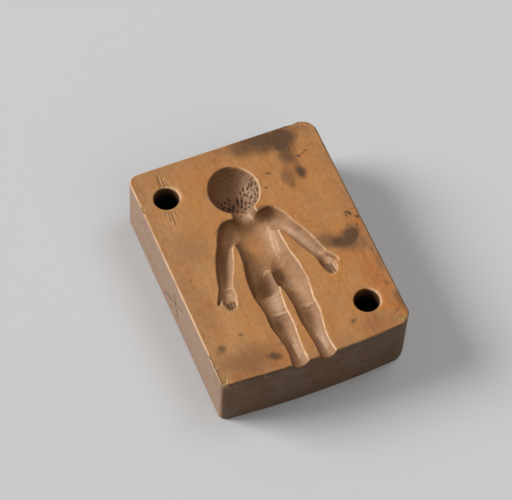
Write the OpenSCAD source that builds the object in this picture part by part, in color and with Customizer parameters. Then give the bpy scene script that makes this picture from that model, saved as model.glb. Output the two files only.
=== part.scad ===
// Wooden sugar mould, one half of a pair.
// A block of close-grained fruitwood with the back half of a small child figure
// sunk into its flat face. The soles run out through the bowed front face, where
// the sugar is poured in, and two peg holes line the block up with its mate.
// X runs across the figure, Y from its feet to its head and Z up out of the face.
// The origin is the middle of the underside.

/* [Block] */
// Length from the back face to the crown of the bowed front face
block_l = 81.6; // [79:0.1:96]
// Width across the two long sides
block_w = 63.3; // [59:0.1:76]
// Thickness from the underside to the carved face
block_h = 23; // [17:0.1:32]
// How far the front face bows out in the middle
front_bow = 1.6; // [0.4:0.1:4]
// Wear on the edges round both flat faces
edge_ease = 0.45; // [0.2:0.05:1]

/* [Block corners] */
// Rounding of the upright edge at the back, on the left
back_left_r = 3.2; // [1.2:0.1:6]
// Rounding of the upright edge at the back, on the right
back_right_r = 5; // [1.2:0.1:7]
// Rounding of the upright edge at the front, on the left
front_left_r = 1.6; // [1.2:0.1:5]
// Rounding of the upright edge at the front, on the right
front_right_r = 5; // [1.2:0.1:7]

/* [Peg holes] */
// Diameter of both peg holes
peg_d = 8.2; // [6:0.1:9]
// Depth of the straight part of each hole
peg_depth = 13; // [8:0.5:15]
// Height of the cone that the bit leaves at the bottom
peg_point = 1.4; // [0.5:0.1:2]
// From the left side to the middle of the back hole
back_peg_side = 8.8; // [7:0.1:10]
// From the back face to the middle of the back hole
back_peg_end = 11.8; // [8:0.1:15]
// From the right side to the middle of the front hole
front_peg_side = 10.6; // [7:0.1:12]
// From the crown of the front face to the middle of the front hole
front_peg_end = 13.1; // [9:0.1:16]

/* [Figure] */
// How far the figure's middle line lies to the left of the block's
figure_shift = 1.9; // [0:0.1:4]
// Squareness of the back's section, 2 for a parabola and more for steeper sides
back_power = 3.4; // [2.6:0.1:4]
// Squareness of the section of the head, the arms and the legs
limb_power = 2.6; // [2:0.1:3.2]
// Softening of the ridges where two hollows meet deep down
ridge_blend = 2.4; // [1:0.1:3]
// Softening of the corners between two hollows at the face
rim_blend = 0.5; // [0.3:0.1:1]
// Side of the squares that the carved surface is made of
net_step = 0.7; // [0.6:0.05:1.5]

/* [Head and neck] */
// Width of the head
head_w = 16.5; // [14:0.1:19]
// Length of the head from crown to nape
head_l = 17.6; // [15:0.1:19]
// Depth of the head at its middle
head_depth = 7; // [6.2:0.1:8.5]
// Width of the neck
neck_w = 7.8; // [6:0.1:10]
// From the middle of the shoulders to the nape
neck_l = 4.7; // [4:0.1:6]
// Depth of the neck
neck_depth = 3.9; // [2.8:0.1:4.8]

/* [Back] */
// Radius of the rounded shoulders
shoulder_r = 4.15; // [3.6:0.05:5]
// Depth of the shoulders
shoulder_depth = 4.3; // [3.4:0.1:5.2]
// From the middle of the shoulders down to the armpits
armpit_drop = 3.6; // [3:0.1:4.4]
// Width of the back at the armpits
back_w = 15; // [13:0.1:16]
// Depth of the back at the armpits
back_depth = 5.2; // [4.4:0.1:5.8]
// From the waist up to the middle of the shoulders
back_l = 7.9; // [7:0.1:9.5]
// Width of the waist
waist_w = 14.6; // [13:0.1:16]
// Depth of the waist
waist_depth = 5; // [4.4:0.1:5.6]
// From the waist down to the hips
waist_l = 6.4; // [5.6:0.1:7.5]
// Width of the hips
hip_w = 16.1; // [15:0.1:17]

/* [Seat] */
// From the hips down to the deepest part of the seat
seat_drop = 6.4; // [5.6:0.1:7.2]
// Width across the seat
seat_w = 18.1; // [17:0.1:19]
// Between the deepest lines of its two halves
seat_span = 7.2; // [6.6:0.1:7.8]
// Depth of each half of the seat
seat_depth = 6.8; // [6:0.1:7.4]
// From the deepest part of the seat down to the fold under it
fold_drop = 3.8; // [3.2:0.1:4.6]
// From the hips down to the upper end of the ridge that stands between the two halves
ridge_drop = 1.8; // [1.4:0.1:2.4]
// How deep the crest of that ridge lies under the face
ridge_depth = 2.9; // [2.4:0.1:3.4]

/* [Legs] */
// Between the middle lines of the two thighs
thigh_span = 9; // [8.6:0.1:9.4]
// Between the middle lines of the two knees
knee_span = 9.4; // [8.6:0.1:10]
// Between the middle lines of the two ankles
ankle_span = 8.7; // [8.2:0.1:9.6]
// Between the middle lines of the two soles
foot_span = 9.2; // [8.6:0.1:10]
// From the fold under the seat down to the knee
thigh_l = 7.4; // [6:0.1:9]
// Width of the thigh under the fold
thigh_w = 8.8; // [8:0.1:9.2]
// Depth of the thigh
thigh_depth = 3.9; // [3.4:0.1:4.4]
// Width of the land between the two thighs, just under the fold
fork_w = 0.7; // [0.5:0.1:1]
// Width of the knee
knee_w = 7; // [6:0.1:7.6]
// Depth behind the knee
knee_depth = 3.2; // [2.6:0.1:3.8]
// From the knee down to the thick of the calf
calf_drop = 4.6; // [3.6:0.1:5.6]
// Width of the calf
calf_w = 7.3; // [6.4:0.1:7.8]
// Depth of the calf
calf_depth = 4; // [3.4:0.1:4.5]
// From the thick of the calf down to the ankle
shin_l = 9.6; // [8:0.1:11]
// Width of the ankle
ankle_w = 4.9; // [4.4:0.1:5.8]
// Depth of the ankle
ankle_depth = 2.4; // [2:0.1:3]
// From the ankle to the crown of the front face
foot_l = 5.4; // [4.5:0.1:6.5]
// Width of the foot
foot_w = 5.7; // [5:0.1:6.4]
// Depth of the foot where it runs out of the front face
foot_depth = 2.7; // [2.2:0.1:3.2]

/* [Arms] */
// From the middle of the rounded shoulder to the narrow of the upper arm
shoulder_l = 5.8; // [5:0.1:6.6]
// From the narrow of the upper arm to the elbow
upper_arm_l = 4; // [3.2:0.1:4.8]
// Length of the forearm
forearm_l = 10.8; // [9.5:0.1:12]
// Length of the hand from the wrist to where the fingertips start to round off
hand_l = 6.3; // [5.4:0.1:7.4]
// Width of the narrow of the upper arm
upper_arm_w = 5; // [4.4:0.1:5.6]
// Depth of the upper arm
upper_arm_depth = 3.6; // [2.8:0.1:4.2]
// Width of the arm at the elbow
elbow_w = 5.5; // [4.8:0.1:6]
// Width of the forearm at its thickest
forearm_w = 5.6; // [4.8:0.1:6]
// Depth of the forearm
forearm_depth = 3.5; // [2.7:0.1:3.9]
// Width of the wrist
wrist_w = 4.4; // [4:0.1:5]
// Depth of the wrist
wrist_depth = 2.2; // [1.7:0.1:2.6]
// Width of the palm
hand_w = 5; // [4.3:0.1:5.5]
// Depth of the palm
hand_depth = 1.8; // [1.3:0.1:2.2]
// Length of the thumb from the wrist
thumb_l = 4.8; // [4.2:0.1:5.8]
// Width of the thumb
thumb_w = 2.2; // [1.8:0.1:2.6]
// Depth of the thumb
thumb_depth = 1.1; // [0.9:0.1:1.4]

/* [Pose] */
// Between the middles of the two rounded shoulders
shoulder_span = 13.1; // [12:0.1:14.4]
// How far the shoulders are set to the right of the figure's middle line
shoulder_set = 0.35; // [0:0.05:1]
// Turn of the left shoulder outwards from straight down
left_shoulder_turn = 45; // [38:0.5:50]
// Turn of the left upper arm
left_upper_turn = 25; // [21:0.5:30]
// Turn of the left forearm
left_forearm_turn = 20.5; // [16:0.5:24]
// Turn of the left hand
left_hand_turn = 8; // [3:0.5:12]
// Turn of the left thumb
left_thumb_turn = 34; // [30:0.5:45]
// Turn of the right shoulder
right_shoulder_turn = 41.5; // [36:0.5:48]
// Turn of the right upper arm
right_upper_turn = 26.5; // [22:0.5:31]
// Turn of the right forearm
right_forearm_turn = 21.5; // [18:0.5:27]
// Turn of the right hand
right_hand_turn = 9; // [4:0.5:14]
// Turn of the right thumb
right_thumb_turn = 42; // [36:0.5:52]

/* [Hidden] */
// Clearance by which every cutting shape runs past the face that it opens
run_out = 1;
// Steps in each rounded corner and along the bow
corner_steps = 8;
bow_steps = 16;
// Highest that the carved surface climbs over the face round its rim
rim_climb = 3;
// Depth at which a hollow starts to fade out
fade_depth = 1.5;
// How much less wide or deep a hollow is near its soft ends
soft_end = 1;
// Short runs between two stations of a chain
chain_steps = 3;
// Least height between a point of the surface and the face, to keep slivers out
rim_gap = 0.05;
// Furthest that a section is followed from its middle, in shares of its half width
section_reach = 2.5;
// Share of its width, and of its depth, that a hand or thumb keeps at the tip
tip_width = 0.84;
tip_depth = 0.72;
// Turn left out at both ends of the bow, where the corner's last point stands
bow_gap = 0.3;

// Block
half_l = block_l / 2;
half_w = block_w / 2;
bow_r = half_w * half_w / (2 * front_bow) + front_bow / 2;
bow_y = bow_r - half_l;
back_peg = [back_peg_side - half_w, half_l - back_peg_end];
front_peg = [half_w - front_peg_side, front_peg_end - half_l];

// Heights of the figure's joints, each stacked on the one below from the front face
ankle_y = foot_l - half_l;
calf_y = ankle_y + shin_l;
knee_y = calf_y + calf_drop;
fold_y = knee_y + thigh_l;
seat_y = fold_y + fold_drop;
hip_y = seat_y + seat_drop;
waist_y = hip_y + waist_l;
shoulder_y = waist_y + back_l;
nape_y = shoulder_y + neck_l;
head_y = nape_y + head_l / 2;
crown_y = nape_y + head_l;
middle_x = -figure_shift;
shoulder_x = middle_x + shoulder_set;

// Half the inner width at which two hollows, side by side, meet in a crest of a given depth
function inner_half(middle, depth, crest) = middle / pow(1 - crest / depth, 1 / limb_power);

// A slice is [y, middle, half the width, depth], from the head down
trunk = [
    [shoulder_y + shoulder_r, shoulder_x, back_w / 2 - soft_end, -fade_depth],
    [shoulder_y + shoulder_r * 3 / 4, shoulder_x, back_w / 2 - soft_end, shoulder_depth / 2],
    [shoulder_y + shoulder_r / 2, shoulder_x, back_w / 2 - soft_end / 2, shoulder_depth],
    [shoulder_y, shoulder_x, back_w / 2, back_depth - soft_end / 4],
    [shoulder_y - armpit_drop, middle_x, back_w / 2, back_depth],
    [waist_y, middle_x, waist_w / 2, waist_depth],
    [hip_y, middle_x, waist_w / 2, waist_depth],
    [hip_y - ridge_drop / 2, middle_x, waist_w / 2 - soft_end, waist_depth - soft_end / 2],
    [hip_y - ridge_drop, middle_x, waist_w / 3, ridge_depth],
    [hip_y - ridge_drop * 3 / 2, middle_x, waist_w / 5, ridge_depth / 3],
    [hip_y - ridge_drop * 2, middle_x, waist_w / 10, -rim_climb],
];
// In the legs the middle is a distance from the figure's own, and the outer half comes before the inner
low_middle = (2 * seat_span + thigh_span) / 6;
fold_middle = (seat_span + 3 * thigh_span) / 8;
shin_half = (calf_w + 3 * ankle_w) / 8;
legs = [
    [(waist_y + hip_y) / 2, (seat_span + soft_end) / 2, seat_span / 3, seat_span / 3, waist_depth / 2],
    [hip_y, seat_span / 2, (hip_w - seat_span) / 2, seat_span / 2, waist_depth - soft_end / 4],
    [(hip_y + seat_y) / 2, seat_span / 2, (seat_w - seat_span - soft_end / 2) / 2,
        inner_half(seat_span / 2, seat_depth - soft_end / 2, ridge_depth), seat_depth - soft_end / 2],
    [seat_y, seat_span / 2, (seat_w - seat_span) / 2,
        inner_half(seat_span / 2, seat_depth, ridge_depth), seat_depth],
    [(seat_y + fold_y) / 2, low_middle, seat_w / 2 - low_middle,
        inner_half(low_middle, seat_depth, ridge_depth * 2 / 3), seat_depth - soft_end / 2],
    [fold_y + soft_end / 2, fold_middle, thigh_w - fold_middle + fork_w / 2, fold_middle,
        (seat_depth + thigh_depth) / 2],
    [fold_y - soft_end / 2, thigh_span / 2, thigh_w - thigh_span / 2 + fork_w / 2,
        (thigh_span - fork_w) / 2, thigh_depth],
    [fold_y - thigh_l / 3, (2 * thigh_span + knee_span) / 6, (thigh_w + knee_w) / 4 + soft_end / 4,
        (thigh_w + knee_w) / 4, thigh_depth],
    [fold_y - thigh_l * 2 / 3, knee_span / 2, (thigh_w + 3 * knee_w) / 8,
        (thigh_w + 3 * knee_w) / 8, thigh_depth],
    [knee_y, knee_span / 2, knee_w / 2, knee_w / 2, knee_depth],
    [calf_y, knee_span / 2, calf_w / 2, calf_w / 2, calf_depth],
    [(calf_y + 2 * ankle_y) / 3, (knee_span + 3 * ankle_span) / 8, shin_half, shin_half,
        (calf_depth + 3 * ankle_depth) / 4],
    [ankle_y, ankle_span / 2, ankle_w / 2, ankle_w / 2, ankle_depth],
    [-half_l, foot_span / 2, foot_w / 2, foot_w / 2, foot_depth],
    [-half_l - foot_l, foot_span / 2, foot_w / 2, foot_w / 2, foot_depth],
];

// A station is [x, y, half the width, depth]
neck = [
    [shoulder_x, shoulder_y + shoulder_r / 4, neck_w / 2 + soft_end, neck_depth + soft_end],
    [middle_x, nape_y, neck_w / 2, neck_depth],
    [middle_x, nape_y + neck_w / 3, neck_w / 2, neck_depth],
];

// The point that lies a length away, at a turn outwards from straight down
function along(point, side, turn, length) =
    point + length * [side * sin(turn), -cos(turn)];

function arm(side, shoulder_turn, upper_turn, forearm_turn, hand_turn) =
    let (
        shoulder = [shoulder_x + side * shoulder_span / 2, shoulder_y],
        narrow = along(shoulder, side, shoulder_turn, shoulder_l),
        elbow = along(narrow, side, upper_turn, upper_arm_l),
        wrist = along(elbow, side, forearm_turn, forearm_l)
    ) [
        concat(shoulder, [shoulder_r, shoulder_depth]),
        concat((shoulder + narrow) / 2,
            [(2 * shoulder_r + upper_arm_w) / 4, (shoulder_depth + upper_arm_depth) / 2]),
        concat(narrow, [upper_arm_w / 2, upper_arm_depth]),
        concat(elbow, [elbow_w / 2, upper_arm_depth]),
        concat(along(elbow, side, forearm_turn, forearm_l / 3), [forearm_w / 2, forearm_depth]),
        concat(along(elbow, side, forearm_turn, forearm_l * 2 / 3),
            [(forearm_w + wrist_w) / 4, (forearm_depth + wrist_depth) / 2]),
        concat(wrist, [wrist_w / 2, wrist_depth]),
        concat(along(wrist, side, hand_turn, hand_l / 2), [hand_w / 2, hand_depth]),
        concat(along(wrist, side, hand_turn, hand_l), [hand_w / 2 * tip_width, hand_depth * tip_depth]),
    ];

function thumb(side, wrist, turn) =
    let (
        root = [wrist.x + side * wrist_w / 4, wrist.y],
        tip = along(root, side, turn, thumb_l)
    ) [
        concat(root, [thumb_w / 2, thumb_depth]),
        concat((root + tip) / 2, [thumb_w / 2, thumb_depth]),
        concat(tip, [thumb_w / 2 * tip_width, thumb_depth * tip_depth]),
    ];

left_arm = arm(-1, left_shoulder_turn, left_upper_turn, left_forearm_turn, left_hand_turn);
right_arm = arm(1, right_shoulder_turn, right_upper_turn, right_forearm_turn, right_hand_turn);
left_thumb = thumb(-1, left_arm[6], left_thumb_turn);
right_thumb = thumb(1, right_arm[6], right_thumb_turn);

function mix(a, b, t) = a + (b - a) * t;
function clamp(v, low, high) = min(max(v, low), high);

// Slope at a station of the smooth curve through value v, against value 0
function slope(stations, k, v) =
    k == 0 ? (stations[1][v] - stations[0][v]) / (stations[1][0] - stations[0][0])
        : k == len(stations) - 1
            ? (stations[k][v] - stations[k - 1][v]) / (stations[k][0] - stations[k - 1][0])
            : let (g = stations[k][0] - stations[k - 1][0], h = stations[k + 1][0] - stations[k][0])
            (g * g * (stations[k + 1][v] - stations[k][v]) + h * h * (stations[k][v] - stations[k - 1][v]))
                / (g * h * (g + h));

// Value v on that curve, a share t of the way from station k to the next
function curve(stations, k, v, t) =
    let (span = stations[k + 1][0] - stations[k][0])
    stations[k][v] * (1 + 2 * t) * (1 - t) * (1 - t) + stations[k + 1][v] * t * t * (3 - 2 * t)
        + slope(stations, k, v) * span * t * (1 - t) * (1 - t)
        - slope(stations, k + 1, v) * span * t * t * (1 - t);

// The slice of a body at a height, or none above its first slice and below its last
function pair_at(slices, y, k = 0) = y >= slices[k + 1][0] ? k : pair_at(slices, y, k + 1);
function slice_at(slices, y) =
    y > slices[0][0] || y < slices[len(slices) - 1][0] ? []
        : let (k = pair_at(slices, y), t = (y - slices[k][0]) / (slices[k + 1][0] - slices[k][0]))
        [for (v = [1 : len(slices[0]) - 1]) curve(slices, k, v, t)];

// A chain of stations with more of them, so that it bends and swells smoothly
function numbered(chain) = [for (k = [0 : len(chain) - 1]) concat([k], chain[k])];
function smooth(chain) =
    let (stations = numbered(chain)) [
        for (k = [0 : len(chain) - 2]) for (i = [0 : chain_steps - 1])
            [for (v = [1 : 4]) curve(stations, k, v, i / chain_steps)],
        chain[len(chain) - 1],
    ];

// Depth of a hollow at a share of its half width from its middle, negative outside it
function section(off, depth, power) =
    max(depth - max(depth, fade_depth) * pow(min(off, section_reach), power), -rim_climb);

function trunk_depth(x, slice) =
    slice == [] ? -rim_climb : section(abs(x - slice[0]) / slice[1], slice[2], back_power);
function leg_depth(x, side, slice) =
    slice == [] ? -rim_climb
        : let (off = side * (x - middle_x) - slice[0])
        section(off > 0 ? off / slice[1] : -off / slice[2], slice[3], limb_power);

function segment_depth(point, a, b, power) =
    let (
        run = [b.x - a.x, b.y - a.y],
        from = point - [a.x, a.y],
        t = clamp((from * run) / (run * run), 0, 1)
    ) section(norm(from - run * t) / mix(a[2], b[2], t), mix(a[3], b[3], t), power);

function chain_depth(point, chain, power) =
    max([for (k = [1 : len(chain) - 1]) segment_depth(point, chain[k - 1], chain[k], power)]);

// The deeper of two depths, rounded off where they are nearly equal
function soft_max(a, b, deep_blend = ridge_blend) =
    let (
        blend = mix(rim_blend, deep_blend, clamp(min(a, b) / rim_climb, 0, 1)),
        near = max(blend - abs(a - b), 0)
    ) max(a, b) + near * near / (4 * blend);
function soft_max_of(depths, k = 0) =
    k == len(depths) - 1 ? depths[k] : soft_max(depths[k], soft_max_of(depths, k + 1));

left_side = [smooth(left_arm), smooth(left_thumb)];
right_side = [smooth(right_arm), smooth(right_thumb)];
smooth_neck = smooth(neck);

// Depth of all the hollows together, with a sharp crest where the two halves of the seat meet
function depth_at(point, trunk_slice, leg_slice) =
    let (head = norm([(point.x - middle_x) * 2 / head_w, (point.y - head_y) * 2 / head_l]))
    soft_max_of(concat(
        [
            section(head, head_depth, limb_power),
            trunk_depth(point.x, trunk_slice),
            soft_max(leg_depth(point.x, -1, leg_slice), leg_depth(point.x, 1, leg_slice), rim_blend),
        ],
        point.y > waist_y ? [chain_depth(point, smooth_neck, limb_power)] : [],
        point.y < knee_y || point.y > head_y ? []
            : [for (chain = point.x < middle_x ? left_side : right_side)
                chain_depth(point, chain, limb_power)]
    ));

function off_rim(depth) = depth > 0 ? max(depth, rim_gap) : min(depth, -rim_gap);

// The carved surface, as its depth at each point of a square net over the figure
net_reach = max([for (station = concat(left_arm, right_arm, left_thumb, right_thumb))
    abs(station.x - middle_x) + station[2]]) + 2 * net_step;
net_x0 = middle_x - net_reach;
net_y0 = -half_l - run_out - net_step;
net_columns = ceil(2 * net_reach / net_step);
net_rows = ceil((crown_y + 2 * net_step - net_y0) / net_step);
function net_point(i, j) = [net_x0 + i * net_step, net_y0 + j * net_step];
net = [for (j = [0 : net_rows])
    let (trunk_slice = slice_at(trunk, net_point(0, j).y), leg_slice = slice_at(legs, net_point(0, j).y))
    [for (i = [0 : net_columns]) off_rim(depth_at(net_point(i, j), trunk_slice, leg_slice))]];

// A point is wet inside a hollow, or where two wet points would else meet only corner to corner
function wet(i, j) =
    let (
        w = [for (b = [j - 1 : j + 1]) [for (a = [i - 1 : i + 1])
            a >= 0 && b >= 0 && a <= net_columns && b <= net_rows && net[b][a] > 0]]
    ) w[1][1] || (w[0][0] && w[2][2]) || (w[0][2] && w[2][0]);
wet_net = [for (j = [0 : net_rows]) [for (i = [0 : net_columns]) wet(i, j)]];

function cut(i, j) =
    i >= 0 && j >= 0 && i < net_columns && j < net_rows
        && (wet_net[j][i] || wet_net[j][i + 1] || wet_net[j + 1][i] || wet_net[j + 1][i + 1]);
cells = [for (j = [0 : net_rows - 1]) for (i = [0 : net_columns - 1]) if (cut(i, j)) [i, j]];

// The underside is the carved surface, drawn below a face at Z 0, and the top stands clear over it
module figure() {
    row = net_columns + 1;
    top = row * (net_rows + 1);
    points = [
        for (j = [0 : net_rows]) for (i = [0 : net_columns])
            concat(net_point(i, j), [-net[j][i]]),
        for (j = [0 : net_rows]) for (i = [0 : net_columns])
            concat(net_point(i, j), [rim_climb + run_out]),
    ];
    faces = [for (cell = cells)
        let (
            i = cell.x, j = cell.y, p = j * row + i, q = p + row,
            across = abs(net[j][i] - net[j + 1][i + 1]) < abs(net[j][i + 1] - net[j + 1][i])
        ) each concat(
            across ? [[p, p + 1, q + 1], [p, q + 1, q]] : [[p, p + 1, q], [p + 1, q + 1, q]],
            [[top + p, top + q, top + q + 1, top + p + 1]],
            cut(i, j - 1) ? [] : [[p + 1, p, top + p, top + p + 1]],
            cut(i, j + 1) ? [] : [[q, q + 1, top + q + 1, top + q]],
            cut(i - 1, j) ? [] : [[p, q, top + q, top + p]],
            cut(i + 1, j) ? [] : [[q + 1, p + 1, top + p + 1, top + q + 1]]
        )];
    polyhedron(points, faces);
}

function arc(middle, r, from, to, steps) =
    [for (k = [0 : steps]) middle + r * [cos(mix(from, to, k / steps)), sin(mix(from, to, k / steps))]];

// Middle of a front corner's rounding, which meets the side and the bow smoothly
function front_corner(side, r) =
    [side * (half_w - r), bow_y - sqrt(pow(bow_r - r, 2) - pow(half_w - r, 2))];
function bow_turn(side, r) =
    let (to_corner = front_corner(side, r) - [0, bow_y]) 270 + atan(to_corner.x / -to_corner.y);

// Outline of the block, drawn in from its full size by an inset
function outline(inset) =
    let (left_turn = bow_turn(-1, front_left_r), right_turn = bow_turn(1, front_right_r)) concat(
        arc([half_w - back_right_r, half_l - back_right_r], back_right_r - inset, 0, 90, corner_steps),
        arc([back_left_r - half_w, half_l - back_left_r], back_left_r - inset, 90, 180, corner_steps),
        arc(front_corner(-1, front_left_r), front_left_r - inset, 180, left_turn, corner_steps),
        arc([0, bow_y], bow_r - inset, left_turn + bow_gap, right_turn - bow_gap, bow_steps),
        arc(front_corner(1, front_right_r), front_right_r - inset, right_turn, 360, corner_steps)
    );

module blank() {
    hull() {
        linear_extrude(block_h) polygon(outline(edge_ease));
        translate([0, 0, edge_ease]) linear_extrude(block_h - 2 * edge_ease) polygon(outline(0));
    }
}

module peg_hole() {
    translate([0, 0, block_h - peg_depth]) {
        cylinder(h = peg_depth + run_out, d = peg_d, $fn = 96);
        translate([0, 0, -peg_point]) cylinder(h = peg_point, d1 = 0, d2 = peg_d, $fn = 96);
    }
}

module drilled_blank() {
    difference() {
        blank();
        translate(back_peg) peg_hole();
        translate(front_peg) peg_hole();
    }
}

// The net falls a little short of the deepest point, so the figure is drawn out to its full depth
module figure_cutter() {
    full_depth = max(head_depth, seat_depth);
    translate([0, 0, block_h]) resize([0, 0, full_depth + run_out]) intersection() {
        figure();
        translate([-half_w, -block_l, -block_h]) cube([block_w, 2 * block_l, block_h + run_out]);
    }
}

module mould_block() {
    color([0.70, 0.50, 0.31]) difference() {
        drilled_blank();
        figure_cutter();
    }
}

mould_block();
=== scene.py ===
# Old fruitwood sugar mould, one half of a pair: the carved block on a pale studio floor.
# Sizes are in millimetres up to the moment the mesh is made, then metres.
import math
import bpy
import bmesh
import numpy as np
from mathutils import Matrix, Vector


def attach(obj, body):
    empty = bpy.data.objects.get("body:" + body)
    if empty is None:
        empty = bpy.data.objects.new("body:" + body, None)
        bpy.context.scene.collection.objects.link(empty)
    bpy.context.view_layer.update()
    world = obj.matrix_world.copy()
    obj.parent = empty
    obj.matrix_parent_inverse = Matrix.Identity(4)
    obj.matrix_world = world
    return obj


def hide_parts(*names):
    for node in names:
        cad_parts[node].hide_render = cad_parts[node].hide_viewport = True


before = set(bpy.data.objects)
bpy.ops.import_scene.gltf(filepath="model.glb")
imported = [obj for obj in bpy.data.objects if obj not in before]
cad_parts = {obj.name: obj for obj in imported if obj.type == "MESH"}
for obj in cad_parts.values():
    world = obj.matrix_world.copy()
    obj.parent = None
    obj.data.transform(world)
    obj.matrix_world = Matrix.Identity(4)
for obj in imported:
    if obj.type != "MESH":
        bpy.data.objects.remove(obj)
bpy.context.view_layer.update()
mm = 0.001  # metres
near = 0.001  # mm, a point this close to a line is on it
print("frame loaded")


viewpoint = dict(
    azimuth=-25.88, elevation=59.07, roll=3.829,  # degrees
    target=(2.18, 13.72, 0), distance=843,  # mm
    lens=184.6, sensor=36,
)


def placeCamera(v):
    az, el, roll = (math.radians(v[k]) for k in ("azimuth", "elevation", "roll"))
    back = Vector((math.sin(az) * math.cos(el), -math.cos(az) * math.cos(el), math.sin(el)))
    right = Vector((math.cos(az), math.sin(az), 0))
    up = back.cross(right)
    across = math.cos(roll) * right + math.sin(roll) * up
    above = -math.sin(roll) * right + math.cos(roll) * up
    data = bpy.data.cameras.new("studioCamera")
    data.lens, data.sensor_width = v["lens"], v["sensor"]
    data.clip_start, data.clip_end = 0.01, 20
    camera = bpy.data.objects.new("studioCamera", data)
    bpy.context.scene.collection.objects.link(camera)
    camera.matrix_world = Matrix.Translation(
        (Vector(v["target"]) + back * v["distance"]) * mm
    ) @ Matrix((across, above, back)).transposed().to_4x4()
    bpy.context.scene.camera = camera


placeCamera(viewpoint)
print("camera set")


plank = dict(
    length=81.59, width=63.3, height=23, bow=1.6,
    backLeft=3.2, backRight=5.0, frontLeft=2.3, frontRight=5.0,  # corner radii
    cell=0.8,  # side of the plain squares
    fineCuts=4,  # cuts across each square where there is carving
    fineFrom=-0.35,  # squares count as carved where the hollow's depth comes above this
    endsFrom=0.6,  # the colour of the end grain begins this far in from the corners
    bowReach=6,  # how far in the squares follow the bowed front
)

pegHoles = dict(
    back=(-22.85, 29.0), front=(21.05, -27.7), radius=4.1,
    patch=5.6,  # half the side of the square that is rebuilt round each hole
    lip=0.5, lipReach=0.95, lipFade=0.6,  # how deep and how far out the worn side of a hole goes
    lipTurns=(0.5, 0.1),  # which way each worn side lies, in radians from X
)

# Small wear all over, and which way the painted shade and painted highlights on the hollow's walls fall
wearAndShade = dict(
    light=(0.86, -0.51),  # a wall that falls this way, away from the lamp, gets painted shade, the one opposite gets a painted highlight
    steep=1.5,  # slope from which a wall counts in full
    wave=0.02, wavePitch=17,  # unevenness of the face
    tear=0.25, sliver=0.05,  # depth of the dark and the pale lines of torn grain
    scratch=0.12,  # depth of the scratches
)

# Where the tones of the hollow and of the block's rim change
tones = dict(
    headFrom=17,  # y from which the hollow is darker
    armFrom=9,  # this far from the figure's middle the painted highlight on its rim is duller
    rimWide=0.16, rimShadeWide=0.3,  # half the width of the painted highlight along the rim and of the painted shade along it
    leftRim=-30, backRim=37,  # the block's rim is worn pale, with a painted highlight, beyond these x and y, and darker elsewhere
    darkRimRings=4.5,  # rings of the side that the darker rim comes down
    border=9,  # width of the dull border of the face
)

# The hollow of the figure. Slices are y, middle, half the width, depth, from the head down
figure = dict(
    middle=-1.9, trunkPower=3.4, limbPower=2.6, headPower=2.6,
    ridgeBlend=2.4, rimBlend=0.5, rimRound=0.2,
    head=(-1.9, 24.2, 8.25, 8.8, 7.0),  # x, y, half-width, half-length, depth
    neck=[(-1.7, 11.5, 4.6, 4.6), (-2.0, 15.0, 3.9, 4.0), (-2.0, 18.0, 3.9, 3.6)],
    trunk=[
        (15.0, -1.6, 6.4, -1.5), (14.0, -1.6, 6.6, 2.2), (12.8, -1.6, 7.0, 4.2), (9.5, -1.7, 7.4, 5.0),
        (6.8, -1.9, 7.5, 5.2), (2.8, -1.75, 7.3, 5.0), (-1.2, -1.8, 7.65, 4.8), (-3.6, -1.85, 7.6, 4.9),
        (-4.6, -1.9, 6.6, 4.5), (-5.4, -1.9, 5.0, 3.1), (-6.2, -1.9, 3.0, 1.2), (-7.2, -1.9, 1.5, -2.5),
    ],
    legs=[  # y, distance of the middle from the figure's, half the width outside and inside, depth
        (0.5, 4.0, 2.2, 2.2, 2.5), (-3.0, 3.9, 4.0, 3.4, 4.6), (-5.0, 3.6, 4.8, 4.2, 5.6),
        (-7.5, 3.5, 5.35, 4.35, 6.4), (-10.0, 3.6, 5.45, 4.4, 6.8), (-12.0, 3.9, 5.25, 4.45, 6.4),
        (-13.2, 4.3, 4.9, 4.35, 4.9), (-14.4, 4.5, 4.7, 4.15, 4.0), (-16.5, 4.65, 4.2, 3.9, 3.9),
        (-18.5, 4.7, 3.8, 3.75, 3.7), (-21.0, 4.7, 3.5, 3.5, 3.2), (-23.4, 4.7, 3.6, 3.6, 3.7),
        (-25.6, 4.65, 3.65, 3.65, 4.0), (-28.0, 4.5, 3.35, 3.35, 3.7), (-31.5, 4.35, 2.8, 2.8, 2.9),
        (-35.4, 4.35, 2.45, 2.45, 2.4), (-38.6, 4.5, 2.6, 2.6, 2.5), (-41.5, 4.6, 2.9, 2.9, 2.7),
        (-46, 4.6, 2.9, 2.9, 2.7),
    ],
    leftArm=[  # x, y, half the width, depth
        (-8.1, 10.5, 4.15, 4.3), (-10.4, 8.6, 3.3, 4.0), (-12.2, 6.4, 2.5, 3.6), (-13.9, 2.8, 2.75, 3.6),
        (-15.3, -1.0, 2.8, 3.5), (-16.6, -4.2, 2.5, 2.9), (-17.7, -7.4, 2.2, 2.2), (-18.2, -11.0, 2.5, 1.8),
        (-18.5, -14.0, 2.1, 1.3),
    ],
    rightArm=[
        (5.0, 10.7, 4.2, 4.4), (7.2, 8.8, 3.4, 4.1), (8.8, 6.4, 2.6, 3.6), (10.6, 2.8, 2.7, 3.6),
        (12.1, -1.0, 2.65, 3.4), (13.4, -4.2, 2.35, 2.8), (14.5, -7.1, 2.15, 2.1), (15.2, -10.4, 2.45, 1.8),
        (15.5, -13.2, 2.1, 1.3),
    ],
    leftThumb=[(-18.8, -7.8, 1.2, 1.3), (-20.4, -10.4, 1.1, 1.1), (-21.7, -12.3, 0.85, 0.8)],
    rightThumb=[(15.6, -7.4, 1.2, 1.3), (17.3, -9.3, 1.1, 1.1), (18.4, -10.7, 0.85, 0.8)],
)


def ease(t):
    t = np.clip(t, 0, 1)
    return t * t * (3 - 2 * t)


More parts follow.
